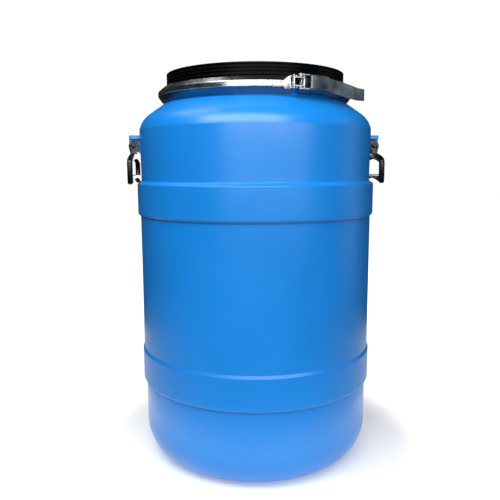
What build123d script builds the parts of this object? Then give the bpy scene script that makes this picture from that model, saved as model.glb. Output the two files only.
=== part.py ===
from build123d import *
from math import cos, degrees, radians, sin, tan
import os

# Open-head plastic drum with a lever-lock ring and two drop handles, in millimetres.
# +Z is up, the origin is the middle of the base, and the handles lie on the X axis.
# An azimuth is an angle about Z, counted from the front (-Y) towards +X.

os.makedirs("parts", exist_ok=True)

# ---- driving dimensions ----
drum_height = 629.3
body_radius = 191.0
wall = 3.0
neck_radius = 148.0
handle_width = 114.6
handle_pin_radius = 2.5
latch_azimuth = 20.24
fit_gap = 0.3
running_gap = 0.06

# ---- drum body ----
lid_rise = 31.1
rim_top = drum_height - lid_rise
top_radius = body_radius - 1.4
base_radius = body_radius - 2.6
chine_width = 52.4
chine_height = 59.2
foot_radius = base_radius - chine_width
base_arch_height = 7.0
base_arch_radius = foot_radius - 26.0
base_ramp = 14.0
shoulder_radius = 38.2
shoulder_crease = 11.3
shoulder_turn = 54.7
neck_height = 14.6
neck_wall = 4.0
bead_width = 5.6
bead_bevel = 2.0
bead_straight = 5.6
bead_foot = 13.6
bead_root = neck_radius - 1.0
lower_band_bottom = 131.1
lower_band_height = 55.5
lower_band_out = 4.7
upper_band_height = 54.7
upper_band_out = 4.1
upper_band_drop = 80.65
upper_waist = top_radius - 1.1
band_foot_in = 1.5
band_foot_rise = 2.5
band_bevel = 4.8

shoulder_centre_radius = top_radius - shoulder_radius * cos(radians(shoulder_crease))
shoulder_end_radius = shoulder_centre_radius + shoulder_radius * cos(radians(shoulder_turn))
cone_rise = (shoulder_end_radius - neck_radius) / tan(radians(shoulder_turn))
shoulder_end = rim_top - neck_height - cone_rise
shoulder_centre_height = shoulder_end - shoulder_radius * sin(radians(shoulder_turn))
shoulder_start = shoulder_centre_height + shoulder_radius * sin(radians(shoulder_crease))
upper_band_top = shoulder_start - upper_band_drop
neck_inner_radius = neck_radius - neck_wall

# ---- handle lugs and handles ----
pivot_radius = top_radius + 9.9
pivot_height = shoulder_start - 24.35
shelf_height = 7.0
shelf_bottom = pivot_height + 10.0
shelf_reach = top_radius + 16.9
shelf_half_width = 15.0
shelf_length = 24.0
shelf_corner = 3.5
lug_half_width = 6.1
lug_nose_radius = 8.0
lug_bottom = pivot_height - 13.0
lug_root = top_radius - wall
lug_slope_end = pivot_radius - 2.0
cheek_thickness = 5.4
cheek_radius = 8.0
handle_thickness = 8.5
handle_plane = pivot_radius + 1.5
handle_bar = 8.8
loop_top = pivot_height - 11.5
loop_bottom = pivot_height - 62.4
loop_shoulder_drop = 10.5
grip_top = pivot_height - 47.0
grip_arch = 8.4
loop_shoulder_round = 11.0
loop_foot_round = 3.5
loop_edge_round = 3.0
opening_shoulder_drop = 7.0
opening_crown_drop = 10.5
pin_end_play = 0.1
pin_head_radius = 4.0
pin_head_height = 1.5
cheek_outer = lug_half_width + fit_gap + cheek_thickness

# ---- lid and gasket ----
lid_wall = 3.0
lid_wall_radius = neck_radius - 5.4
lid_lip_radius = lid_wall_radius + 1.5
lid_inner_radius = lid_wall_radius - lid_wall
lid_panel_top = rim_top + 8.3
lid_panel_under = lid_panel_top - lid_wall
lid_corner = 4.0
lid_disc_radius = lid_wall_radius - 52.0
lid_disc_rise = 4.5
lid_disc_slope = 7.0
lid_step_radius = neck_radius - 0.2
lid_step_height = rim_top + 8.4
lid_foot_height = rim_top + 9.4
lid_edge_round = 1.2
lid_flange_radius = neck_radius + 5.4
lid_flange_top = rim_top + 3.6
lid_flange_bottom = rim_top + 1.1
lid_skirt_radius = neck_inner_radius - 2 * fit_gap
lid_skirt_inner = lid_skirt_radius - lid_wall
lid_skirt_bottom = rim_top - 10.2
lid_skirt_taper = 5.2
lid_skirt_lead = 1.4
lid_skirt_corner = 2.0
ridge_count = 4
ridge_pitch = 5.1
ridge_height = 2.4
ridge_round = 0.5
groove_depth = 2.6
groove_gap = 0.1
gasket_width = 5.6
gasket_height = 3.4
gasket_round = 0.8

# ---- locking ring ----
ring_gauge = 1.2
ring_face_radius = neck_radius + 10.0
ring_level = rim_top - 0.7
ring_bend = 0.6
ring_face_half = 3.4
ring_step = 1.1
ring_upper_step = 4.4
ring_lower_step = 4.6
ring_upper_radius = neck_radius + 1.0
ring_upper_rise = 11.0
ring_lower_radius = neck_radius + 3.0
ring_lower_drop = 12.8
ring_gap_start = -13.9
ring_gap_end = -3.0

# ---- latch: radii from the ring's face, lengths along that face from the latch's azimuth ----
sheet = 1.5
layer_gap = 0.4
head_height = 0.9
head_taper = 15.0
latch_level = ring_level + 2.4
lever_half = 10.3
ear_half = lever_half - sheet - layer_gap
plate_half = ear_half - sheet - layer_gap

fulcrum_radius = ring_face_radius + 5.8
fulcrum_along = -5.2
rivet_radius = 1.8
rivet_head_radius = 2.8
ear_radius = 3.3
bracket_start = ring_gap_end + 0.4
bracket_end = 17.0
bracket_lip = 1.2
bracket_lip_half = 4.4

link_pivot_radius = ring_face_radius + 5.2
link_pivot_along = 0.6
link_pin_radius = 1.7
link_pin_head_radius = 2.7
link_eye_radius = 3.2

catch_radius = ring_face_radius + 5.0
catch_along = -14.5
catch_pin_radius = 2.0
catch_pin_head_radius = 3.0
catch_sheet = 1.3
catch_plate_start = catch_along - 30.0
catch_spoon_start = catch_along - 12.0
catch_hook_start = catch_along - 5.0
catch_plate_end = catch_along - 3.0
catch_round = 0.9
tongue_top = 1.6
tongue_bottom = -6.9
spoon_top = 3.6
spoon_step = 5.2
spoon_step_length = 2.5
spoon_bottom = -9.8
spoon_blend = 1.5
hook_nose_start = catch_along + catch_pin_radius + fit_gap
hook_nose_width = 1.6
hook_nose_rise = 2.5

lever_web_radius = ring_face_radius + 11.8
lever_fold = 2.0
lever_nose_radius = 4.0
lever_nose_corner = 1.0
lever_inner_radius = ring_face_radius + 2.0
lever_channel_start = 5.6
lever_web_start = 8.2
lever_web_corner = 2.5
lever_channel_end = 39.6
lever_shoulder_length = 7.2
lever_hole_radius = 1.4
lever_hole_along = lever_channel_end - 5.0
tail_end = 127.6
tail_radius = ring_face_radius + 21.6
tail_middle = 84.0
tail_round = 3.0
tail_overlap = 3.0

# Side outline of the strap: lengths along the ring, heights from the ring's level.
tail_top = ((68.0, 6.4), (106.0, 2.6))
tail_bottom = ((104.0, -15.8), (80.0, -14.8))
tail_root_top = 9.3
tail_root_bottom = -9.4
tail_tip_top = 3.6
tail_tip_bottom = -14.1


def azimuth(along):
    """Azimuth of a point of the latch, from its length along the ring's face."""
    return latch_azimuth + degrees(along / ring_face_radius)


def spot(radius, along):
    """Point in plan at a radius and a length along the ring's face."""
    turn = radians(azimuth(along))
    return Vector(radius * sin(turn), -radius * cos(turn))


def sector(inner, outer, start, end):
    """Face in plan between two radii and two lengths along the ring's face."""
    sweep_angle = degrees((end - start) / ring_face_radius)
    first = azimuth(start) - 90
    with BuildSketch(mode=Mode.PRIVATE) as shape:
        with BuildLine():
            CenterArc((0, 0), inner, first, sweep_angle)
            CenterArc((0, 0), outer, first, sweep_angle)
            Line(spot(inner, start), spot(outer, start))
            Line(spot(inner, end), spot(outer, end))
        make_face()
    return shape.sketch_local


def upright(along):
    """Plane through the drum's axis at a length along the ring's face: x outward, y up."""
    turn = radians(azimuth(along))
    return Plane(origin=(0, 0, 0), x_dir=(sin(turn), -cos(turn), 0), z_dir=(-cos(turn), -sin(turn), 0))


def upright_across(along):
    """Plane through the drum's axis that faces outward: x along the ring, y up."""
    turn = radians(azimuth(along))
    return Plane(origin=(0, 0, 0), x_dir=(cos(turn), sin(turn), 0), z_dir=(sin(turn), -cos(turn), 0))


def headed_pin(place, start, end, radius, head_radius):
    """Upright pin between two heights, with a low head past its end."""
    upward = 1 if end > start else -1
    with BuildPart(mode=Mode.PRIVATE) as pin:
        with BuildSketch(Plane.XY.offset(start)):
            with Locations(place):
                Circle(radius)
        extrude(amount=end - start)
        with BuildSketch(Plane.XY.offset(end)):
            with Locations(place):
                Circle(head_radius)
        extrude(amount=upward * head_height, taper=head_taper)
    return pin.part


def shoulder_point(arc, turn):
    """Point of the shoulder's arc in half section, at an angle above level."""
    return (
        shoulder_centre_radius + arc * cos(radians(turn)),
        shoulder_centre_height + arc * sin(radians(turn)),
    )


def add_band(inset, bottom, height, below, out, above):
    """Rolling hoop: a square foot, a straight face and a bevelled top edge."""
    foot = bottom + inset
    top = bottom + height - inset
    Polyline(
        (below, foot),
        (below + out - band_foot_in, foot),
        (below + out, foot + band_foot_rise),
        (below + out, top - band_bevel),
        (above, top),
    )


def add_wall_outline(inset):
    """Half section of the drum's wall up to the neck, a distance inside its outer face."""
    base = base_radius - inset
    middle = body_radius - inset
    waist = upper_waist - inset
    neck = neck_radius if inset == 0 else neck_inner_radius
    arc = shoulder_radius - inset
    arc_end = shoulder_point(arc, shoulder_turn)
    neck_start = (neck, arc_end[1] + (arc_end[0] - neck) / tan(radians(shoulder_turn)))
    upper_band_bottom = upper_band_top - upper_band_height
    Polyline(
        (0, base_arch_height + inset),
        (base_arch_radius, base_arch_height + inset),
        (base_arch_radius + base_ramp, inset),
        (foot_radius, inset),
    )
    EllipticalCenterArc(
        (foot_radius, chine_height),
        chine_width - inset,
        chine_height - inset,
        start_angle=270,
        arc_size=90,
    )
    Line((base, chine_height), (base, lower_band_bottom + inset))
    add_band(inset, lower_band_bottom, lower_band_height, base, lower_band_out, middle)
    Line(
        (middle, lower_band_bottom + lower_band_height - inset),
        (middle, upper_band_bottom + inset),
    )
    add_band(inset, upper_band_bottom, upper_band_height, middle, upper_band_out, waist)
    Line((waist, upper_band_top - inset), shoulder_point(arc, shoulder_crease))
    centre = (shoulder_centre_radius, shoulder_centre_height)
    CenterArc(centre, arc, shoulder_crease, shoulder_turn - shoulder_crease)
    Line(arc_end, neck_start)
    Line(neck_start, (neck, rim_top))
    Line((neck, rim_top), (0, rim_top))
    Line((0, rim_top), (0, base_arch_height + inset))


# ---- drum body: one blow-moulded shell with its rim bead and two handle lugs ----
with BuildPart() as drum_body:
    with BuildSketch(Plane.XZ):
        with BuildLine():
            add_wall_outline(0)
        make_face()
    revolve(axis=Axis.Z)
    with BuildSketch(Plane.XZ):
        with BuildLine():
            Polyline(
                (bead_root, rim_top - bead_foot),
                (neck_radius, rim_top - bead_foot),
                (neck_radius + bead_width, rim_top - bead_straight),
                (neck_radius + bead_width, rim_top - bead_bevel),
                (neck_radius + bead_width - bead_bevel, rim_top),
                (bead_root, rim_top),
                close=True,
            )
        make_face()
    revolve(axis=Axis.Z)
    for side in (-1, 1):
        with BuildSketch(Plane.XY.offset(shelf_bottom)):
            with Locations((side * (shelf_reach - shelf_length / 2), 0)):
                RectangleRounded(shelf_length, 2 * shelf_half_width, shelf_corner)
        extrude(amount=shelf_height)
        with BuildSketch(Plane.XZ.offset(-lug_half_width)):
            with Locations((side * pivot_radius, pivot_height)):
                Circle(lug_nose_radius)
            with BuildLine():
                Polyline(
                    (side * lug_root, lug_bottom),
                    (side * lug_slope_end, pivot_height - lug_nose_radius),
                    (side * (pivot_radius + lug_nose_radius), pivot_height),
                    (side * (pivot_radius + lug_nose_radius), shelf_bottom),
                    (side * lug_root, shelf_bottom),
                    close=True,
                )
            make_face()
            with Locations((side * pivot_radius, pivot_height)):
                Circle(handle_pin_radius, mode=Mode.SUBTRACT)
        extrude(amount=2 * lug_half_width)
    with BuildSketch(Plane.XZ):
        with BuildLine():
            add_wall_outline(wall)
        make_face()
    revolve(axis=Axis.Z, mode=Mode.SUBTRACT)
drum_body.part.label = "drum_body"
export_step(drum_body.part, "parts/drum_body.step")

# ---- lid: ridged rim, recessed panel, clamping flange and plug skirt ----
groove_inner = neck_radius - gasket_width / 2 - groove_gap
groove_outer = neck_radius + gasket_width / 2 + groove_gap
with BuildPart() as lid:
    with BuildSketch(Plane.XZ):
        with BuildLine():
            Polyline(
                (0, lid_panel_top + lid_disc_rise),
                (lid_disc_radius, lid_panel_top + lid_disc_rise),
                (lid_disc_radius + lid_disc_slope, lid_panel_top),
                (lid_inner_radius - lid_corner, lid_panel_top),
                (lid_inner_radius, lid_panel_top + lid_corner),
                (lid_inner_radius, drum_height),
                (lid_wall_radius, drum_height),
                (lid_wall_radius, lid_foot_height),
                (lid_step_radius, lid_step_height),
                (lid_flange_radius, lid_flange_top),
                (lid_flange_radius, lid_flange_bottom),
                (groove_outer, lid_flange_bottom),
                (groove_outer, lid_flange_bottom + groove_depth),
                (groove_inner, lid_flange_bottom + groove_depth),
                (groove_inner, lid_flange_bottom),
                (lid_skirt_radius, lid_flange_bottom),
                (lid_skirt_radius, lid_skirt_bottom + lid_skirt_taper),
                (lid_skirt_radius - lid_skirt_lead, lid_skirt_bottom),
                (lid_skirt_inner, lid_skirt_bottom),
                (lid_skirt_inner, lid_panel_under - lid_skirt_corner),
                (lid_skirt_inner - lid_skirt_corner, lid_panel_under),
                (lid_disc_radius + lid_disc_slope - lid_skirt_corner, lid_panel_under),
                (lid_disc_radius - lid_skirt_corner, lid_panel_under + lid_disc_rise),
                (0, lid_panel_under + lid_disc_rise),
                close=True,
            )
        make_face()
        for ridge in range(ridge_count):
            ridge_middle = drum_height - ridge_height / 2 - ridge * ridge_pitch
            with Locations((lid_wall_radius, ridge_middle)):
                RectangleRounded(2 * (lid_lip_radius - lid_wall_radius), ridge_height, ridge_round)
    revolve(axis=Axis.Z)
    rim_edge = lid.edges().filter_by(GeomType.CIRCLE).group_by(Axis.Z)[-1].sort_by(SortBy.RADIUS)[0]
    fillet(rim_edge, lid_edge_round)
lid.part.label = "lid"
export_step(lid.part, "parts/lid.step")

# ---- gasket: closed foam ring in the flange's groove ----
with BuildPart() as gasket:
    with BuildSketch(Plane.XZ):
        with Locations((neck_radius, lid_flange_bottom + groove_depth - gasket_height / 2)):
            RectangleRounded(gasket_width, gasket_height, gasket_round)
    revolve(axis=Axis.Z)
gasket.part.label = "gasket"
export_step(gasket.part, "parts/gasket.step")

# ---- locking ring: rolled channel that clamps the lid's flange and the rim bead ----
with BuildPart() as locking_ring:
    with BuildSketch(upright(ring_gap_end)):
        with BuildLine():
            channel = FilletPolyline(
                (ring_upper_radius, ring_level + ring_upper_rise),
                (ring_face_radius - ring_step, ring_level + ring_upper_step),
                (ring_face_radius, ring_level + ring_face_half),
                (ring_face_radius, ring_level - ring_face_half),
                (ring_face_radius - ring_step, ring_level - ring_lower_step),
                (ring_lower_radius, ring_level - ring_lower_drop),
                radius=ring_bend,
            )
            offset(channel, amount=ring_gauge, side=Side.RIGHT)
        make_face()
    revolve(axis=Axis.Z, revolution_arc=360 - azimuth(ring_gap_end) + azimuth(ring_gap_start))
locking_ring.part.label = "locking_ring"
export_step(locking_ring.part, "parts/locking_ring.step")

# ---- lever bracket: plate on the ring's end with two ears that reach forward to the fulcrum ----
with BuildPart() as lever_bracket:
    with BuildSketch(Plane.XY.offset(latch_level - ear_half)):
        add(sector(ring_face_radius, ring_face_radius + sheet, bracket_start, bracket_end))
    extrude(amount=2 * ear_half)
    with BuildSketch(Plane.XY.offset(latch_level - bracket_lip_half)):
        lip_radius = link_pivot_radius - link_pin_radius - fit_gap
        add(sector(ring_face_radius, lip_radius, bracket_start, bracket_start + bracket_lip))
    extrude(amount=2 * bracket_lip_half)
    for side in (-1, 1):
        with BuildSketch(Plane.XY.offset(latch_level + side * ear_half)):
            with Locations(spot(fulcrum_radius, fulcrum_along)):
                Circle(ear_radius)
            with Locations(spot(ring_face_radius + sheet, bracket_start)):
                Circle(sheet)
            make_hull()
            add(sector(ring_face_radius, ring_face_radius + sheet, bracket_start, bracket_end))
            with Locations(spot(fulcrum_radius, fulcrum_along)):
                Circle(rivet_radius, mode=Mode.SUBTRACT)
        extrude(amount=-side * sheet)
lever_bracket.part.label = "lever_bracket"
export_step(lever_bracket.part, "parts/lever_bracket.step")

# ---- catch bracket: spoon-shaped plate on the other end with two open hooks ----
catch_turn = radians(azimuth(catch_spoon_start))
catch_side = Plane(
    origin=(0, 0, latch_level),
    x_dir=(cos(catch_turn), sin(catch_turn), 0),
    z_dir=(sin(catch_turn), -cos(catch_turn), 0),
)
with BuildPart() as catch_bracket:
    with BuildSketch(Plane.XY.offset(latch_level + spoon_bottom)):
        add(sector(ring_face_radius, ring_face_radius + catch_sheet, catch_plate_start, catch_plate_end))
    extrude(amount=ear_half - spoon_bottom)
    with BuildSketch(catch_side):
        with BuildLine():
            tongue_start = catch_plate_start - catch_spoon_start - 1
            hook_start = catch_hook_start - catch_spoon_start
            plate_end = catch_plate_end - catch_spoon_start + 1
            FilletPolyline(
                (tongue_start, tongue_top),
                (-spoon_blend, tongue_top),
                (0, spoon_top),
                (spoon_step_length, spoon_step),
                (hook_start, ear_half),
                (plate_end, ear_half),
                (plate_end, -ear_half),
                (hook_start, spoon_bottom),
                (spoon_blend, spoon_bottom),
                (-spoon_blend, tongue_bottom),
                (tongue_start, tongue_bottom),
                radius=catch_round,
                close=True,
            )
        make_face()
    extrude(amount=2 * ring_face_radius, mode=Mode.INTERSECT)
    for side in (-1, 1):
        with BuildSketch(Plane.XY.offset(latch_level + side * ear_half)):
            add(sector(
                ring_face_radius,
                catch_radius - catch_pin_radius - fit_gap,
                catch_hook_start,
                hook_nose_start + hook_nose_width,
            ))
            add(sector(
                ring_face_radius,
                catch_radius + hook_nose_rise,
                hook_nose_start,
                hook_nose_start + hook_nose_width,
            ))
        extrude(amount=-side * sheet)
catch_bracket.part.label = "catch_bracket"
export_step(catch_bracket.part, "parts/catch_bracket.step")

# ---- lever rivets: one through each ear and flange, so the link can pass between them ----
with BuildPart() as lever_rivets:
    for side in (-1, 1):
        ear_face = latch_level + side * (ear_half - sheet)
        flange_face = latch_level + side * (lever_half + running_gap)
        place = spot(fulcrum_radius, fulcrum_along)
        add(headed_pin(place, ear_face, flange_face, rivet_radius, rivet_head_radius))
lever_rivets.part.label = "lever_rivets"
export_step(lever_rivets.part, "parts/lever_rivets.step")

# ---- lever: pressed channel at the pivots, then a curved strap that stands off the ring ----
middle_turn = radians(azimuth(tail_middle))
tail_side = Plane(
    origin=(0, 0, ring_level),
    x_dir=(cos(middle_turn), sin(middle_turn), 0),
    z_dir=(sin(middle_turn), -cos(middle_turn), 0),
)


def across(radius, along):
    """Distance of a point of the tail from the tail's middle, seen square on."""
    return radius * sin(radians(azimuth(along)) - middle_turn)


with BuildPart() as lever:
    with BuildSketch(Plane.XY.offset(latch_level - 2 * lever_half)):
        with BuildLine():
            outer_start = spot(lever_web_radius, lever_channel_end)
            inner_start = spot(lever_web_radius - sheet, lever_channel_end)
            channel_heading = radians(azimuth(lever_channel_end))
            heading = (cos(channel_heading), sin(channel_heading))
            TangentArc(outer_start, spot(tail_radius, tail_end), tangent=heading)
            TangentArc(inner_start, spot(tail_radius - sheet, tail_end), tangent=heading)
            Line(outer_start, inner_start)
            Line(spot(tail_radius, tail_end), spot(tail_radius - sheet, tail_end))
        make_face()
    extrude(amount=4 * lever_half)
    with BuildSketch(tail_side):
        with BuildLine():
            near = across(lever_web_radius, lever_channel_end) - tail_overlap
            far = across(tail_radius, tail_end) + tail_overlap
            FilletPolyline(
                (near, tail_root_top),
                *((across(lever_web_radius, along), height) for along, height in tail_top),
                (far, tail_tip_top),
                (far, tail_tip_bottom),
                *((across(lever_web_radius, along), height) for along, height in tail_bottom),
                (near, tail_root_bottom),
                radius=tail_round,
                close=True,
            )
        make_face()
    extrude(amount=2 * tail_radius, mode=Mode.INTERSECT)
    with BuildSketch(upright(lever_channel_start)):
        with BuildLine():
            fold = FilletPolyline(
                (lever_inner_radius, latch_level + lever_half),
                (lever_web_radius, latch_level + lever_half),
                (lever_web_radius, latch_level - lever_half),
                (lever_inner_radius, latch_level - lever_half),
                radius=lever_fold,
            )
            offset(fold, amount=sheet, side=Side.RIGHT)
        make_face()
    revolve(axis=Axis.Z, revolution_arc=azimuth(lever_channel_end) - azimuth(lever_channel_start))
    with BuildSketch(upright_across(lever_web_start)):
        opening = 2 * (lever_half - sheet)
        with Locations((-opening / 2, latch_level)):
            RectangleRounded(opening, opening, lever_web_corner)
    extrude(amount=2 * lever_web_radius, mode=Mode.SUBTRACT)
    with BuildSketch(upright_across(lever_channel_end)):
        with BuildLine():
            fold_top = latch_level + lever_half
            strap_top = ring_level + tail_root_top
            Polyline(
                (-lever_shoulder_length, fold_top),
                (0, strap_top),
                (tail_overlap, strap_top),
                (tail_overlap, fold_top + sheet),
                (-lever_shoulder_length, fold_top + sheet),
                close=True,
            )
        make_face()
    extrude(amount=2 * lever_web_radius, mode=Mode.SUBTRACT)
    for side in (-1, 1):
        with BuildSketch(Plane.XY.offset(latch_level + side * lever_half)):
            nose_inner = lever_inner_radius + lever_nose_corner
            nose_outer = lever_web_radius - lever_fold - lever_nose_corner
            with Locations(spot(fulcrum_radius, fulcrum_along)):
                Circle(lever_nose_radius)
            with Locations(*(spot(r, lever_channel_start) for r in (nose_inner, nose_outer))):
                Circle(lever_nose_corner)
            make_hull()
            with Locations(spot(fulcrum_radius, fulcrum_along)):
                Circle(rivet_radius + running_gap, mode=Mode.SUBTRACT)
        extrude(amount=-side * sheet)
        with BuildSketch(Plane.XY.offset(latch_level + side * lever_half)):
            with Locations(spot(link_pivot_radius, link_pivot_along)):
                Circle(link_pin_radius)
            with Locations(spot(fulcrum_radius, lever_hole_along)):
                Circle(lever_hole_radius)
        extrude(amount=-side * sheet, mode=Mode.SUBTRACT)
lever.part.label = "lever"
export_step(lever.part, "parts/lever.step")

# ---- link pin: riveted in the lever's flanges, in front of the fulcrum ----
with BuildPart() as link_pin:
    for side in (-1, 1):
        flange_face = latch_level + side * lever_half
        place = spot(link_pivot_radius, link_pivot_along)
        add(headed_pin(place, latch_level, flange_face, link_pin_radius, link_pin_head_radius))
link_pin.part.label = "link_pin"
export_step(link_pin.part, "parts/link_pin.step")

# ---- link plates: a matching pair between the ears, one above and one below ----
link_start = spot(link_pivot_radius, link_pivot_along)
link_end = spot(catch_radius, catch_along)
with BuildPart() as link_plates:
    for side in (-1, 1):
        with BuildSketch(Plane.XY.offset(latch_level + side * plate_half)):
            with Locations(link_start, link_end):
                Circle(link_eye_radius)
            make_hull()
            with Locations(link_start):
                Circle(link_pin_radius + running_gap, mode=Mode.SUBTRACT)
            with Locations(link_end):
                Circle(catch_pin_radius, mode=Mode.SUBTRACT)
        extrude(amount=-side * sheet)
link_plates.part.label = "link_plates"
export_step(link_plates.part, "parts/link_plates.step")

# ---- catch pin: riveted in the link plates, drops into the open hooks ----
with BuildPart() as catch_pin:
    for side in (-1, 1):
        head_face = latch_level + side * (ear_half + fit_gap)
        add(headed_pin(link_end, latch_level, head_face, catch_pin_radius, catch_pin_head_radius))
catch_pin.part.label = "catch_pin"
export_step(catch_pin.part, "parts/catch_pin.step")

# ---- handles and their pins, one set on each side ----
for side, side_name in ((-1, "left"), (1, "right")):
    loop_plane = Plane(
        origin=(side * handle_plane - handle_thickness / 2, 0, pivot_height),
        x_dir=(0, 1, 0),
        z_dir=(1, 0, 0),
    )
    half_width = handle_width / 2
    opening_half = half_width - handle_bar
    top_of_loop = loop_top - pivot_height
    with BuildPart() as handle:
        with BuildSketch(loop_plane):
            with BuildLine():
                shoulder = top_of_loop - loop_shoulder_drop
                foot = loop_bottom - pivot_height
                ThreePointArc((-half_width, shoulder), (0, top_of_loop), (half_width, shoulder))
                Line((half_width, shoulder), (half_width, foot))
                ThreePointArc((half_width, foot), (0, foot + grip_arch), (-half_width, foot))
                Line((-half_width, foot), (-half_width, shoulder))
            make_face()
            fillet(vertices().group_by(Axis.Y)[-1], loop_shoulder_round)
            fillet(vertices().group_by(Axis.Y)[0], loop_foot_round)
            with BuildLine():
                arch = shoulder - opening_shoulder_drop
                crown = top_of_loop - opening_crown_drop
                sill = grip_top - pivot_height
                ThreePointArc((-opening_half, arch), (0, crown), (opening_half, arch))
                Line((opening_half, arch), (opening_half, sill))
                Line((opening_half, sill), (-opening_half, sill))
                Line((-opening_half, sill), (-opening_half, arch))
            make_face(mode=Mode.SUBTRACT)
        extrude(amount=handle_thickness)
        fillet(handle.faces().filter_by(Axis.X).edges(), loop_edge_round)
        for cheek_start in (-cheek_outer, lug_half_width + fit_gap):
            with BuildSketch(Plane.XZ.offset(-cheek_start - cheek_thickness)):
                with Locations((side * pivot_radius, pivot_height)):
                    Circle(cheek_radius)
                with Locations((side * handle_plane, top_of_loop + pivot_height)):
                    Circle(handle_thickness / 2)
                make_hull()
                with Locations((side * pivot_radius, pivot_height)):
                    Circle(handle_pin_radius + running_gap, mode=Mode.SUBTRACT)
            extrude(amount=cheek_thickness)
    handle.part.label = f"handle_{side_name}"
    export_step(handle.part, f"parts/handle_{side_name}.step")

    with BuildPart() as handle_pin:
        pin_half = cheek_outer + pin_end_play
        with BuildSketch(Plane.XZ.offset(-pin_half)):
            with Locations((side * pivot_radius, pivot_height)):
                Circle(handle_pin_radius)
        extrude(amount=2 * pin_half)
        for outward in (-1, 1):
            with BuildSketch(Plane.XZ.offset(outward * pin_half)):
                with Locations((side * pivot_radius, pivot_height)):
                    Circle(pin_head_radius)
            extrude(amount=outward * pin_head_height, taper=head_taper)
    handle_pin.part.label = f"handle_pin_{side_name}"
    export_step(handle_pin.part, f"parts/handle_pin_{side_name}.step")
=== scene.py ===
import math

import bmesh
import bpy
from mathutils import Matrix, Vector, noise


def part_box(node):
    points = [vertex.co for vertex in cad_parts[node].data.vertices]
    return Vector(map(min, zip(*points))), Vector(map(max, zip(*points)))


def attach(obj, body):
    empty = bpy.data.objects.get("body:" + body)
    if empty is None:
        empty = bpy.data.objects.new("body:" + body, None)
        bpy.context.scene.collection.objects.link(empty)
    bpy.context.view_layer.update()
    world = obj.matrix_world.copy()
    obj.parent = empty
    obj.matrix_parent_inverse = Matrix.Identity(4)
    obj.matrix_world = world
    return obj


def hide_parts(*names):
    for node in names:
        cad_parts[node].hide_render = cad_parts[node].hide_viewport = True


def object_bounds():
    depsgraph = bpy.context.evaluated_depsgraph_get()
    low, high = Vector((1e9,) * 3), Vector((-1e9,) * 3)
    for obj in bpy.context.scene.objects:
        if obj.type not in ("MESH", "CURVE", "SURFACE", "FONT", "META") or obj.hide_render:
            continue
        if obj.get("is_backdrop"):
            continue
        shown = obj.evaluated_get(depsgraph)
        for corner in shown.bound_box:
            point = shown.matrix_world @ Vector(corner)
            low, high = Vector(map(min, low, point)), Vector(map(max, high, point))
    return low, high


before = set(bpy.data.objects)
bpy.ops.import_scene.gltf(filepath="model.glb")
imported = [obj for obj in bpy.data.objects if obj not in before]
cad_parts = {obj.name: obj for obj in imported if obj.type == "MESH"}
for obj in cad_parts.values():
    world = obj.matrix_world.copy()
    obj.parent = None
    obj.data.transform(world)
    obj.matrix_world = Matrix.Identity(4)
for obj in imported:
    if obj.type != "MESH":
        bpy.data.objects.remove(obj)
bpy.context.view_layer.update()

# ---- sizes, in metres, worked out from the frame ----
MM = 0.001
drum_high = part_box("drum_body")[1]
lid_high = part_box("lid")[1]
ring_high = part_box("locking_ring")[1]
gasket_low, gasket_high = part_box("gasket")

upper_hoop_out = 4.1 * MM
hoop_radius = drum_high.y
body_radius = hoop_radius - upper_hoop_out
top_radius = body_radius - 1.4 * MM
base_radius = body_radius - 2.6 * MM
waist_step = 1.1 * MM
rim_top = drum_high.z
wall = 3.0 * MM
chine_width = 52.4 * MM
chine_height = 59.2 * MM
base_arch = 7.0 * MM
lower_hoop_bottom = 131.1 * MM
lower_hoop_top = 186.6 * MM
lower_hoop_out = 4.7 * MM
upper_hoop_height = 54.7 * MM
upper_hoop_drop = 80.65 * MM
hoop_join = 14 * MM

ring_face = ring_high.y
neck_radius = ring_face - 10.0 * MM
neck_inner = neck_radius - 4.0 * MM
neck_start = rim_top - 14.6 * MM
bead_width = 5.6 * MM
bead_foot = 13.6 * MM
shoulder_crease = math.radians(11.3)
shoulder_turn = math.radians(54.7)
shoulder_radius = 38.2 * MM
latch_azimuth = math.radians(20.24)


# ---- outlines and meshes ----
def rounded(corners, steps=5):
    """Outline through (r, z, radius) corners, each rounded by an arc of its radius."""
    points = []
    count = len(corners)
    for i, (r, z, radius) in enumerate(corners):
        here = Vector((r, z))
        if radius == 0 or i in (0, count - 1):
            points.append(here)
            continue
        before = Vector(corners[i - 1][:2]) - here
        after = Vector(corners[i + 1][:2]) - here
        half = before.angle(after) / 2
        reach = min(radius / math.tan(half), 0.48 * before.length, 0.48 * after.length)
        start = here + before.normalized() * reach
        end = here + after.normalized() * reach
        centre = here + (before.normalized() + after.normalized()).normalized() * reach / math.cos(half)
        for k in range(steps + 1):
            chord = start.lerp(end, k / steps) - centre
            points.append(centre + chord.normalized() * (start - centre).length)
    return points


def arc_points(centre, radius, start, turn, steps):
    """Points along an arc, angles in radians from the +r direction."""
    return [
        Vector((centre[0] + radius * math.cos(start + turn * k / steps),
                centre[1] + radius * math.sin(start + turn * k / steps)))
        for k in range(steps + 1)
    ]


def densified(points, step):
    """The same outline with no stretch longer than a step."""
    out = [points[0]]
    for a, b in zip(points, points[1:]):
        parts = max(1, math.ceil((b - a).length / step))
        out += [a.lerp(b, k / parts) for k in range(1, parts + 1)]
    return out


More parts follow.
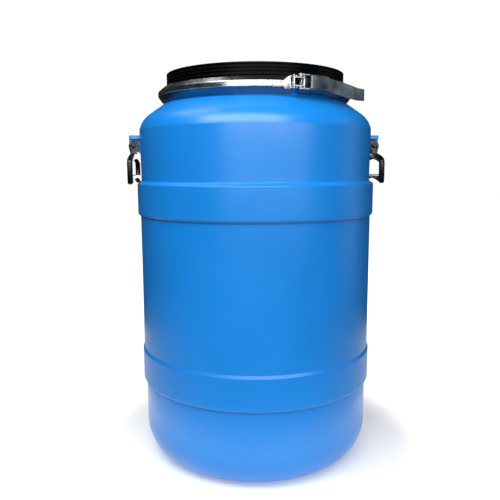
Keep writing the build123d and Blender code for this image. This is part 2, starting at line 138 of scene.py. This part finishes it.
def lathe(name, outline, segments=288, start=0.0, turn=2 * math.pi, closed=False, shift=None):
    """Mesh of an (r, z) outline turned about Z; a part turn gets capped ends."""
    whole = abs(turn - 2 * math.pi) < 1e-6
    mesh = bpy.data.meshes.new(name)
    shape = bmesh.new()
    columns = segments if whole else segments + 1
    poles = {}
    grid = []
    for j in range(columns):
        angle = start + turn * j / segments
        column = []
        for i, p in enumerate(outline):
            if p.x < 1e-6:
                if i not in poles:
                    poles[i] = shape.verts.new((0, 0, p.y))
                column.append(poles[i])
                continue
            r = p.x + (shift(p, angle) if shift else 0.0)
            column.append(shape.verts.new((r * math.cos(angle), r * math.sin(angle), p.y)))
        grid.append(column)
    rows = len(outline) if closed else len(outline) - 1
    for j in range(segments):
        left, right = grid[j], grid[(j + 1) % columns]
        for i in range(rows):
            k = (i + 1) % len(outline)
            corners = [left[i], right[i], right[k], left[k]]
            unique = list(dict.fromkeys(corners))
            if len(unique) > 2:
                shape.faces.new(unique)
    if not whole:
        shape.faces.new(grid[0])
        shape.faces.new(list(reversed(grid[-1])))
    bmesh.ops.recalc_face_normals(shape, faces=shape.faces)
    shape.to_mesh(mesh)
    shape.free()
    piece = bpy.data.objects.new(name, mesh)
    bpy.context.scene.collection.objects.link(piece)
    piece.data.shade_smooth()
    piece.data.set_sharp_from_angle(angle=math.radians(40))
    even = piece.modifiers.new("even normals", "WEIGHTED_NORMAL")
    even.keep_sharp = True
    even.weight = 60
    return piece


def round_edges(piece, width, segments, angle):
    """Rounds the edges that turn by more than an angle, and shades the piece smooth."""
    round_off = piece.modifiers.new("rounded edges", "BEVEL")
    round_off.width = width
    round_off.segments = segments
    round_off.limit_method = "ANGLE"
    round_off.angle_limit = math.radians(angle)
    round_off.harden_normals = True
    piece.data.shade_smooth()


def refined(node, bevel):
    """A copy of a CAD node with its edges softly rounded, which stands for the node."""
    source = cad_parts[node]
    piece = bpy.data.objects.new(f"{node}_finish", source.data.copy())
    piece.data.materials.clear()
    shape = bmesh.new()
    shape.from_mesh(piece.data)
    bmesh.ops.transform(shape, matrix=source.matrix_world, verts=shape.verts)
    bmesh.ops.remove_doubles(shape, verts=shape.verts, dist=1e-6)
    bmesh.ops.dissolve_limit(
        shape, angle_limit=math.radians(0.6), verts=shape.verts, edges=shape.edges
    )
    shape.to_mesh(piece.data)
    shape.free()
    bpy.context.scene.collection.objects.link(piece)
    round_edges(piece, bevel, 3, 35)
    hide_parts(node)
    return piece


# ---- materials ----
class Surface:
    """A Principled material and short ways to add the nodes that feed it."""

    def __init__(self, name, metallic=0.0, ior=1.5):
        self.material = bpy.data.materials.new(name)
        self.material.use_nodes = True
        self.tree = self.material.node_tree
        self.shader = self.tree.nodes["Principled BSDF"]
        self.shader.inputs["Metallic"].default_value = metallic
        self.shader.inputs["IOR"].default_value = ior
        self.place = self.tree.nodes.new("ShaderNodeTexCoord").outputs["Object"]

    def node(self, kind, **values):
        made = self.tree.nodes.new(kind)
        for key, value in values.items():
            setattr(made, key, value)
        return made

    def specular(self, level):
        self.shader.inputs["Specular IOR Level"].default_value = level

    def join(self, source, target):
        self.tree.links.new(source, target)

    def noise(self, scale, detail=3.0, rough=0.5, place=None):
        made = self.node("ShaderNodeTexNoise")
        made.inputs["Scale"].default_value = scale
        made.inputs["Detail"].default_value = detail
        made.inputs["Roughness"].default_value = rough
        self.join(place or self.place, made.inputs["Vector"])
        return made.outputs["Fac"]

    def cells(self, scale):
        made = self.node("ShaderNodeTexVoronoi")
        made.inputs["Scale"].default_value = scale
        self.join(self.place, made.inputs["Vector"])
        return made

    def ramp(self, value, low, high, out_low=0.0, out_high=1.0):
        made = self.node("ShaderNodeMapRange", interpolation_type="SMOOTHSTEP")
        made.inputs["From Min"].default_value = low
        made.inputs["From Max"].default_value = high
        made.inputs["To Min"].default_value = out_low
        made.inputs["To Max"].default_value = out_high
        self.join(value, made.inputs["Value"])
        return made.outputs["Result"]

    def maths(self, operation, a, b):
        made = self.node("ShaderNodeMath", operation=operation)
        for socket, value in zip(made.inputs, (a, b)):
            if isinstance(value, (int, float)):
                socket.default_value = value
            else:
                self.join(value, socket)
        return made.outputs["Value"]

    def mix(self, factor, a, b):
        made = self.node("ShaderNodeMix", data_type="RGBA")
        self.join(factor, made.inputs["Factor"])
        for socket, value in ((made.inputs["A"], a), (made.inputs["B"], b)):
            if isinstance(value, tuple):
                socket.default_value = (*value, 1.0)
            else:
                self.join(value, socket)
        return made.outputs["Result"]

    def stretched(self, x, y, z):
        made = self.node("ShaderNodeMapping")
        made.inputs["Scale"].default_value = (x, y, z)
        self.join(self.place, made.inputs["Vector"])
        return made.outputs["Vector"]

    def around(self, turns, height, depth):
        """Coordinates that run round Z, drawn out so that marks follow the turn."""
        apart = self.node("ShaderNodeSeparateXYZ")
        self.join(self.place, apart.inputs["Vector"])
        angle = self.maths("ARCTAN2", apart.outputs["Y"], apart.outputs["X"])
        out = self.node("ShaderNodeCombineXYZ")
        self.join(self.maths("MULTIPLY", angle, turns), out.inputs["X"])
        self.join(self.maths("MULTIPLY", apart.outputs["Z"], height), out.inputs["Y"])
        reach = self.node("ShaderNodeVectorMath", operation="LENGTH")
        flat = self.node("ShaderNodeCombineXYZ")
        self.join(apart.outputs["X"], flat.inputs["X"])
        self.join(apart.outputs["Y"], flat.inputs["Y"])
        self.join(flat.outputs["Vector"], reach.inputs[0])
        self.join(self.maths("MULTIPLY", reach.outputs["Value"], depth), out.inputs["Z"])
        return out.outputs["Vector"]

    def height(self):
        apart = self.node("ShaderNodeSeparateXYZ")
        self.join(self.place, apart.inputs["Vector"])
        return apart.outputs["Z"]

    def bump(self, *layers):
        """Stacks (height, depth in metres) layers of relief on the normal."""
        normal = None
        for value, depth in layers:
            made = self.node("ShaderNodeBump")
            made.inputs["Strength"].default_value = 1.0
            made.inputs["Distance"].default_value = depth
            self.join(value, made.inputs["Height"])
            if normal:
                self.join(normal, made.inputs["Normal"])
            normal = made.outputs["Normal"]
        self.join(normal, self.shader.inputs["Normal"])

    def colour(self, value):
        self.join(value, self.shader.inputs["Base Color"])

    def rough(self, value):
        self.join(value, self.shader.inputs["Roughness"])


def blue_polyethylene():
    """Blow-moulded shell: satin blue, fine mould grain, soft clouding and an uneven gloss."""
    s = Surface("blue_polyethylene")
    s.specular(0.58)
    cloud = s.noise(7.0, 4.0)
    grain = s.noise(1500.0, 2.0, 0.7)
    base = s.mix(s.ramp(cloud, 0.3, 0.7), (0.0040, 0.190, 0.610), (0.0055, 0.210, 0.665))
    s.colour(s.mix(s.ramp(grain, 0.25, 0.8, 0.0, 0.22), base, (0.022, 0.265, 0.700)))
    s.rough(s.ramp(s.noise(45.0), 0.05, 0.95, 0.26, 0.36))
    s.bump((s.noise(60.0, 2.0), 0.00020), (grain, 0.00003))
    return s.material


def black_polyethylene():
    """Injection-moulded lid: deep black, turned marks round the axis and pale dust."""
    s = Surface("black_polyethylene")
    s.specular(0.06)
    marks = s.noise(1.0, 5.0, 0.6, s.around(4.0, 900.0, 500.0))
    dust = s.maths("MULTIPLY", s.ramp(s.noise(30.0, 6.0, 0.65), 0.45, 0.8), 0.35)
    base = s.mix(s.ramp(marks, 0.35, 0.75), (0.0008, 0.0009, 0.0012), (0.0028, 0.0032, 0.0040))
    s.colour(s.mix(dust, base, (0.009, 0.010, 0.012)))
    s.rough(s.ramp(s.noise(120.0, 4.0), 0.3, 0.7, 0.24, 0.38))
    s.bump((marks, 0.00010), (s.noise(1400.0, 2.0), 0.00005))
    return s.material


def black_handle_plastic():
    """Glossy moulded handle: black with slight flow ripple and rubbed edges."""
    s = Surface("black_handle_plastic")
    s.specular(0.35)
    flow = s.noise(55.0, 4.0)
    rub = s.noise(1.0, 5.0, 0.7, s.stretched(500.0, 120.0, 500.0))
    base = s.mix(s.ramp(flow, 0.3, 0.7), (0.0006, 0.0007, 0.0010), (0.0016, 0.0018, 0.0024))
    s.colour(s.mix(s.ramp(rub, 0.62, 0.8, 0.0, 0.4), base, (0.012, 0.013, 0.015)))
    s.rough(s.ramp(rub, 0.4, 0.75, 0.12, 0.26))
    s.bump((flow, 0.00015), (s.noise(900.0, 2.0), 0.00003))
    return s.material


def galvanised(name, dark, light, low, high, marks_around=True, rust=0.0, shaded_below=None):
    """Zinc-coated sheet: spangle, roller marks, stains, fine scratches, rust, and painted shade below a
    height when one is given.
    """
    s = Surface(name, metallic=1.0)
    spangle = s.cells(160.0).outputs["Color"]
    grey = s.node("ShaderNodeRGBToBW")
    s.join(spangle, grey.inputs["Color"])
    place = s.around(2.0, 2200.0, 2200.0) if marks_around else s.stretched(90.0, 90.0, 2200.0)
    marks = s.noise(1.0, 5.0, 0.65, place)
    stain = s.noise(38.0, 6.0, 0.6)
    base = s.mix(s.ramp(stain, 0.3, 0.72), dark, light)
    spangled = s.mix(s.maths("MULTIPLY", grey.outputs["Val"], 0.14), base, (0.80, 0.82, 0.84))
    worn = s.mix(s.ramp(marks, 0.52, 0.75, 0.0, 0.65), spangled, tuple(0.40 * c for c in dark))
    patches = s.ramp(s.noise(150.0, 6.0, 0.7), 0.52, 0.66, 0.0, rust)
    worn = s.mix(patches, worn, (0.17, 0.13, 0.08))
    # Painted shade: below the given height the sheet turns dark blue-grey, standing in for the shade and
    # dim blue reflection under the ring's lower flank.
    if shaded_below:
        unshaded_mask = s.ramp(s.height(), shaded_below - 1.0 * MM, shaded_below)
        worn = s.mix(unshaded_mask, (0.17, 0.21, 0.25), worn)
    s.colour(worn)
    wear = s.maths("ADD", s.maths("MULTIPLY", stain, 0.6), s.maths("MULTIPLY", marks, 0.4))
    s.rough(s.ramp(wear, 0.3, 0.7, low, high))
    s.bump((marks, 0.00007), (stain, 0.00016))
    return s.material


def foam_rubber():
    """Closed-cell gasket foam."""
    s = Surface("foam_rubber")
    pores = s.cells(1600.0).outputs["Distance"]
    s.colour(s.mix(s.ramp(s.noise(200.0), 0.3, 0.7), (0.012, 0.012, 0.012), (0.030, 0.030, 0.030)))
    s.rough(s.ramp(pores, 0.0, 0.6, 0.95, 0.75))
    s.bump((pores, 0.00020))
    return s.material


plastic_blue = blue_polyethylene()
plastic_black = black_polyethylene()
plastic_handle = black_handle_plastic()
# The ring band gets painted shade on its lower flank, below a height just under the rim.
ring_metal = galvanised(
    "galvanised_ring", (0.42, 0.45, 0.48), (0.66, 0.69, 0.72), 0.16, 0.30, shaded_below=rim_top - 4.6 * MM
)
lever_metal = galvanised(
    "galvanised_lever", (0.16, 0.24, 0.32), (0.50, 0.58, 0.64), 0.24, 0.42, False, rust=0.55
)
bracket_metal = galvanised(
    "galvanised_bracket", (0.34, 0.34, 0.33), (0.62, 0.61, 0.58), 0.20, 0.34, False, rust=0.45
)
pin_metal = galvanised(
    "zinc_pin", (0.36, 0.35, 0.32), (0.70, 0.68, 0.63), 0.18, 0.32, False, rust=0.35
)
gasket_foam = foam_rubber()


def dress(piece, body, material):
    """Gives a piece its material and the body it rides on."""
    piece.data.materials.clear()
    piece.data.materials.append(material)
    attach(piece, body)
    return piece


# ---- drum shell ----
def base_side(inset):
    """The arched base and the elliptic chine round it."""
    foot = base_radius - chine_width
    arch = base_arch + inset
    outline = rounded([
        (0, arch, 0),
        (foot - 26 * MM, arch, 6 * MM),
        (foot - 12 * MM, inset, 5 * MM),
        (foot, inset, 0),
    ])
    steps = 18
    for k in range(1, steps + 1):
        turn = math.pi / 2 * k / steps
        outline.append(Vector((
            foot + (chine_width - inset) * math.sin(turn),
            chine_height - (chine_height - inset) * math.cos(turn),
        )))
    return outline


def hoop(inset, bottom, top, below, out, above):
    """Rolling hoop: a square foot, a straight face and a bevelled top edge."""
    return rounded([
        (below, bottom - hoop_join, 0),
        (below, bottom + inset, 0.9 * MM),
        (below + out - 1.5 * MM, bottom + inset, 1.2 * MM),
        (below + out, bottom + inset + 2.5 * MM, 2.0 * MM),
        (below + out, top - inset - 4.8 * MM, 1.6 * MM),
        (above, top - inset, 1.4 * MM),
        (above, top - inset + hoop_join, 0),
    ])


def shell_side(inset):
    """One face of the wall from the base's middle to the neck, a distance inside the outer face."""
    base, middle, top = (r - inset for r in (base_radius, body_radius, top_radius))
    centre_radius = top_radius - shoulder_radius * math.cos(shoulder_crease)
    cone_width = centre_radius + shoulder_radius * math.cos(shoulder_turn) - neck_radius
    cone_end = neck_start - cone_width / math.tan(shoulder_turn)
    centre_height = cone_end - shoulder_radius * math.sin(shoulder_turn)
    crease_height = centre_height + shoulder_radius * math.sin(shoulder_crease)
    upper_top = crease_height - upper_hoop_drop
    upper_bottom = upper_top - upper_hoop_height
    shoulder = arc_points(
        (centre_radius, centre_height),
        shoulder_radius - inset,
        shoulder_crease,
        shoulder_turn - shoulder_crease,
        14,
    )
    crease = rounded([
        (top, crease_height - hoop_join, 0),
        (*shoulder[0], 12 * MM),
        (*shoulder[1], 0),
    ])
    return (
        base_side(inset)
        + hoop(inset, lower_hoop_bottom, lower_hoop_top, base, lower_hoop_out, middle)
        + hoop(inset, upper_bottom, upper_top, middle, upper_hoop_out, top - waist_step)
        + crease
        + shoulder[2:]
    )


outer_side = shell_side(0)
inner_side = shell_side(wall)
rim_outline = rounded([
    (*outer_side[-1], 0),
    (neck_radius, neck_start, 2.5 * MM),
    (neck_radius, rim_top - bead_foot, 0.8 * MM),
    (neck_radius + bead_width, rim_top - bead_width, 1.0 * MM),
    (neck_radius + bead_width, rim_top, 2.0 * MM),
    (neck_inner, rim_top, 1.2 * MM),
    (neck_inner, neck_start, 6.0 * MM),
    (*inner_side[-1], 0),
])


def sink(point, angle):
    """Slight unevenness of a blown wall, always inwards so that the drum stays in its box."""
    place = Vector((math.cos(angle) * 1.4, math.sin(angle) * 1.4, point.y * 7.0))
    return -0.00035 * (0.5 + 0.5 * noise.noise(place))


shell_outline = densified(outer_side + rim_outline[1:-1] + inner_side[::-1], 12 * MM)
shell = lathe("drum_shell", shell_outline, shift=sink)
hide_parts("drum_body")
dress(shell, "drum", plastic_blue)


# ---- handle lugs ----
def prism(name, outline, low, high, axis_along_y):
    """Straight prism of an outline in plan (x, y), or in elevation (x, z) when it runs along Y."""
    shape = bmesh.new()
    ends = []
    for level in (low, high):
        ends.append([
            shape.verts.new((p[0], level, p[1]) if axis_along_y else (p[0], p[1], level))
            for p in outline
        ])
    shape.faces.new(ends[0])
    shape.faces.new(ends[1][::-1])
    count = len(outline)
    for i in range(count):
        k = (i + 1) % count
        shape.faces.new((ends[0][i], ends[1][i], ends[1][k], ends[0][k]))
    bmesh.ops.recalc_face_normals(shape, faces=shape.faces)
    mesh = bpy.data.meshes.new(name)
    shape.to_mesh(mesh)
    shape.free()
    piece = bpy.data.objects.new(name, mesh)
    bpy.context.scene.collection.objects.link(piece)
    return piece


def handle_lug(side, side_name):
    """Shelf and web moulded onto the wall, where a handle hangs."""
    pin_low, pin_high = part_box(f"handle_pin_{side_name}")
    pivot = (pin_low + pin_high) / 2
    shelf_reach = drum_high.x - 1.0 * MM
    shelf_low, shelf_high = pivot.z + 10 * MM, pivot.z + 17 * MM
    shelf_half = 15.0 * MM
    root = top_radius - 2 * MM
    corner = 3.5 * MM
    plan = [(side * root, -shelf_half)]
    for turn, start in ((-1, -math.pi / 2), (1, 0.0)):
        centre = Vector((shelf_reach - corner, turn * (shelf_half - corner)))
        plan += [(side * p.x, p.y) for p in arc_points(centre, corner, start, math.pi / 2, 6)]
    plan.append((side * root, shelf_half))
    shelf = prism(f"lug_shelf_{side_name}", plan, shelf_low, shelf_high, False)
    round_edges(shelf, 1.2 * MM, 4, 30)

    nose = 7.7 * MM
    web_half = 6.1 * MM
    nose_turn = -math.radians(105)
    web = [(side * root, shelf_low + MM), (side * (abs(pivot.x) + nose), shelf_low + MM)]
    nose_arc = arc_points((abs(pivot.x), pivot.z), nose, 0, nose_turn, 10)
    web += [(side * p.x, p.y) for p in nose_arc]
    web.append((side * root, pivot.z - 13 * MM))
    rib = prism(f"lug_web_{side_name}", web, -web_half, web_half, True)
    round_edges(rib, 0.8 * MM, 4, 30)
    for piece in (shelf, rib):
        dress(piece, "drum", plastic_blue)


for side, side_name in ((-1, "left"), (1, "right")):
    handle_lug(side, side_name)

# ---- lid ----
lid_wall_outer = neck_radius - 5.4 * MM
lid_inner = lid_wall_outer - 3.0 * MM
lip = 1.5 * MM
panel = rim_top + 8.3 * MM
disc = lid_wall_outer - 52.0 * MM
lid_top = lid_high.z
ridge_pitch = 5.1 * MM
ridge_height = 2.4 * MM
skirt = neck_inner - 0.6 * MM
skirt_foot = rim_top - 10.2 * MM
flange = neck_radius + 5.4 * MM
flange_low = rim_top + 1.1 * MM
groove_inner = neck_radius - 2.9 * MM
groove_outer = gasket_high.y + 0.1 * MM
groove_top = flange_low + 2.6 * MM
lid_corners = [
    (0, panel + 4.5 * MM, 0),
    (disc, panel + 4.5 * MM, 2.5 * MM),
    (disc + 7 * MM, panel, 2.5 * MM),
    (lid_inner - 4 * MM, panel, 1.5 * MM),
    (lid_inner, panel + 4 * MM, 2.0 * MM),
    (lid_inner, lid_top, 1.2 * MM),
]
for ridge in range(4):
    high = lid_top - ridge * ridge_pitch
    lid_corners += [
        (lid_wall_outer + lip, high, 0.6 * MM),
        (lid_wall_outer + lip, high - ridge_height, 0.6 * MM),
        (lid_wall_outer, high - ridge_height - 0.5 * MM, 0.4 * MM),
        (lid_wall_outer, high - ridge_pitch + 0.4 * MM, 0.4 * MM),
    ]
lid_corners += [
    (lid_wall_outer, rim_top + 9.4 * MM, 0.8 * MM),
    (neck_radius - 0.2 * MM, rim_top + 8.4 * MM, 1.0 * MM),
    (flange, rim_top + 3.6 * MM, 0.8 * MM),
    (flange, flange_low, 0.4 * MM),
    (groove_outer, flange_low, 0.3 * MM),
    (groove_outer, groove_top, 0.3 * MM),
    (groove_inner, groove_top, 0.3 * MM),
    (groove_inner, flange_low, 0.3 * MM),
    (skirt, flange_low, 0.4 * MM),
    (skirt, rim_top - 5 * MM, 1.0 * MM),
    (skirt - 1.4 * MM, skirt_foot, 0.6 * MM),
    (skirt - 3.0 * MM, skirt_foot, 0.6 * MM),
    (skirt - 3.0 * MM, panel - 5 * MM, 1.0 * MM),
    (skirt - 5.0 * MM, panel - 3 * MM, 1.0 * MM),
    (disc + 5 * MM, panel - 3 * MM, 1.5 * MM),
    (disc - 2 * MM, panel + 1.5 * MM, 1.5 * MM),
    (0, panel + 1.5 * MM, 0),
]
lid_shell = lathe("lid_shell", densified(rounded(lid_corners, 4), 16 * MM))
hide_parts("lid")
dress(lid_shell, "lid", plastic_black)

# ---- gasket ----
gasket_inner = neck_radius - 2.8 * MM
gasket_outer = neck_radius + 2.8 * MM
gasket_level = (gasket_low.z + gasket_high.z) / 2
gasket_ring = lathe("gasket_ring", rounded([
    (gasket_inner, gasket_level, 0),
    (gasket_inner, gasket_low.z, 1.2 * MM),
    (gasket_outer, gasket_low.z, 1.2 * MM),
    (gasket_outer, gasket_high.z, 0.6 * MM),
    (gasket_inner, gasket_high.z, 0.6 * MM),
    (gasket_inner, gasket_level + 0.1 * MM, 0),
]), closed=True)
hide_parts("gasket")
dress(gasket_ring, "lid", gasket_foam)

# ---- locking ring ----
level = rim_top - 0.7 * MM
gauge = 1.2 * MM
band_line = [
    (neck_radius + 1.0 * MM, level + 11.0 * MM),
    (ring_face - 1.3 * MM, level + 4.6 * MM),
    (ring_face - 1.1 * MM, level + 4.0 * MM),
    (ring_face, level + 3.2 * MM),
    (ring_face, level - 3.2 * MM),
    (ring_face - 1.1 * MM, level - 4.0 * MM),
    (ring_face - 1.3 * MM, level - 4.8 * MM),
    (neck_radius + 3.0 * MM, level - 12.8 * MM),
]


def sheet_outline(line, thickness):
    """Closed outline of bent sheet whose outer face follows a line of (r, z) points."""
    points = [Vector(p) for p in line]
    inner = []
    for i, here in enumerate(points):
        before = (here - points[i - 1]).normalized() if i else (points[1] - here).normalized()
        after = (points[i + 1] - here).normalized() if i < len(points) - 1 else before
        mean = (before + after).normalized()
        inward = Vector((mean.y, -mean.x))
        inner.append(here + inward * thickness / max(0.5, mean.dot(before)))
    corners = [(*p, 0.55 * MM) for p in points] + [(*p, 0.3 * MM) for p in inner[::-1]]
    middle = (Vector(corners[0][:2]) + Vector(corners[-1][:2])) / 2
    return rounded([(*middle, 0)] + corners + [(*middle, 0)], 3)[:-1]


gap_far, gap_near = 13.9 * MM, 3.0 * MM
gap_start = latch_azimuth - gap_far / ring_face - math.pi / 2
gap_end = latch_azimuth - gap_near / ring_face - math.pi / 2
band = lathe(
    "ring_band",
    sheet_outline(band_line, gauge),
    segments=360,
    start=gap_end,
    turn=2 * math.pi - (gap_end - gap_start),
    closed=True,
)
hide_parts("locking_ring")
dress(band, "ring", ring_metal)

# ---- latch, handles and pins, refined from the CAD solids ----
for node, body, material, slot_name, bevel in (
    ("lever_bracket", "ring", bracket_metal, "bracket_steel", 0.35 * MM),
    ("catch_bracket", "ring", bracket_metal, "bracket_steel", 0.35 * MM),
    ("lever_rivets", "ring", pin_metal, "pin_steel", 0.35 * MM),
    ("lever", "lever", lever_metal, "lever_steel", 0.35 * MM),
    ("link_pin", "lever", pin_metal, "pin_steel", 0.35 * MM),
    ("link_plates", "link", bracket_metal, "bracket_steel", 0.3 * MM),
    ("catch_pin", "link", pin_metal, "pin_steel", 0.35 * MM),
    ("handle_left", "handle_left", plastic_handle, "handle_plastic", 0.9 * MM),
    ("handle_right", "handle_right", plastic_handle, "handle_plastic", 0.9 * MM),
    ("handle_pin_left", "drum", plastic_handle, "handle_pin_plastic", 0.5 * MM),
    ("handle_pin_right", "drum", plastic_handle, "handle_pin_plastic", 0.5 * MM),
):
    dress(refined(node, bevel), body, material)


# ---- floor, lights and camera ----
def pale_surface(name, paint, centre, start, end, start_glow, end_glow):
    """Matt grey paint with a light of its own that changes with the distance from a centre."""
    s = Surface(name)
    s.colour(s.mix(s.noise(3.0, 2.0), (0.96 * paint,) * 3, (paint,) * 3))
    s.rough(s.ramp(s.noise(20.0), 0.3, 0.7, 0.75, 0.85))
    s.shader.inputs["Emission Color"].default_value = (1.0, 1.0, 1.0, 1.0)
    away = s.node("ShaderNodeVectorMath", operation="DISTANCE")
    s.join(s.place, away.inputs[0])
    away.inputs[1].default_value = centre
    glow = s.ramp(away.outputs["Value"], start, end, start_glow, end_glow)
    s.join(glow, s.shader.inputs["Emission Strength"])
    return s.material


def backdrop():
    """Pale floor under the drum, a plain pale surround, and an apron that only reflections see."""
    near, middle, far = 0.38, 0.90, 14.0
    height = 9.0
    bend = [(p.x, p.y) for p in arc_points((far - 3.0, 3.0), 3.0, -math.pi / 2, math.pi / 2, 10)]
    here = (0, 0, 0)
    front = (0, -1, 0)
    for name, paint, glow, seen, lights, shines, profile in (
        ("floor", 0.85, (here, 0.24, near, 0.20, 1.0), True, True, True, [(0.0, 0.0), (near, 0.0)]),
        ("surround", 0.90, (here, near, far, 1.0, 1.0), True, False, False,
         [(near, 0.0)] + bend + [(far, height)]),
        ("apron", 0.05, (front, 0.5, 1.4, 0.02, 0.8), False, False, True,
         [(near, 0.5 * MM), (middle, 0.5 * MM)]),
    ):
        piece = lathe(name, [Vector(p) for p in profile], segments=96)
        piece.data.materials.append(pale_surface(f"pale_{name}", paint, *glow))
        piece.visible_camera = seen
        piece.visible_diffuse = lights
        piece.visible_glossy = shines
        piece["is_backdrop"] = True


def softbox(name, place, target, width, height, watts):
    """White rectangular area light that faces a target."""
    light = bpy.data.lights.new(name, "AREA")
    light.shape = "RECTANGLE"
    light.size = width
    light.size_y = height
    light.energy = watts
    lamp = bpy.data.objects.new(name, light)
    lamp.location = place
    lamp.rotation_mode = "QUATERNION"
    lamp.rotation_quaternion = (Vector(target) - Vector(place)).to_track_quat("-Z", "Y")
    bpy.context.scene.collection.objects.link(lamp)


def camera():
    """Camera a metre in front of the drum, at mid height, looking slightly down."""
    turn = math.radians(-4.0)
    outward = Vector((math.sin(turn), -math.cos(turn), 0))
    right = Vector((math.cos(turn), math.sin(turn), 0))
    distance = 5.1732 * body_radius
    offset = 0.0472 * body_radius
    height = 2.525 * body_radius
    pitch = 0.1416
    roll = 0.0034
    focal_length = 41.89
    forward = -outward * math.cos(pitch) - Vector((0, 0, math.sin(pitch)))
    aim = forward.to_track_quat("-Z", "Y")
    lens = bpy.data.cameras.new("camera")
    lens.sensor_width = 36.0
    lens.lens = focal_length
    lens.clip_start = 0.01
    view = bpy.data.objects.new("camera", lens)
    view.rotation_mode = "QUATERNION"
    view.rotation_quaternion = aim @ Matrix.Rotation(-roll, 3, "Z").to_quaternion()
    view.location = outward * distance - right * offset + Vector((0, 0, height))
    bpy.context.scene.collection.objects.link(view)
    bpy.context.scene.camera = view


def studio():
    """Dim white surroundings and soft lights from the front, the right, above and behind."""
    world = bpy.data.worlds.new("studio")
    world.use_nodes = True
    sky = world.node_tree.nodes["Background"]
    sky.inputs["Color"].default_value = (1.0, 1.0, 1.0, 1.0)
    sky.inputs["Strength"].default_value = 0.025
    bpy.context.scene.world = world
    middle = (0, 0, 0.45)
    softbox("key", (-0.35, -1.15, 1.75), (0, -0.1, 0.5), 2.3, 1.0, 47)
    softbox("front", (0.2, -1.9, 0.85), middle, 3.2, 0.6, 24)
    softbox("right", (1.5, 0.1, 0.75), middle, 0.7, 1.5, 1.3)
    softbox("top", (-0.9, 0.25, 2.0), middle, 1.0, 0.8, 5)
    softbox("back", (0.0, 2.2, 0.9), middle, 0.7, 1.2, 7)
    bpy.context.scene.view_settings.view_transform = "Standard"


backdrop()
camera()
studio()

low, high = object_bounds()
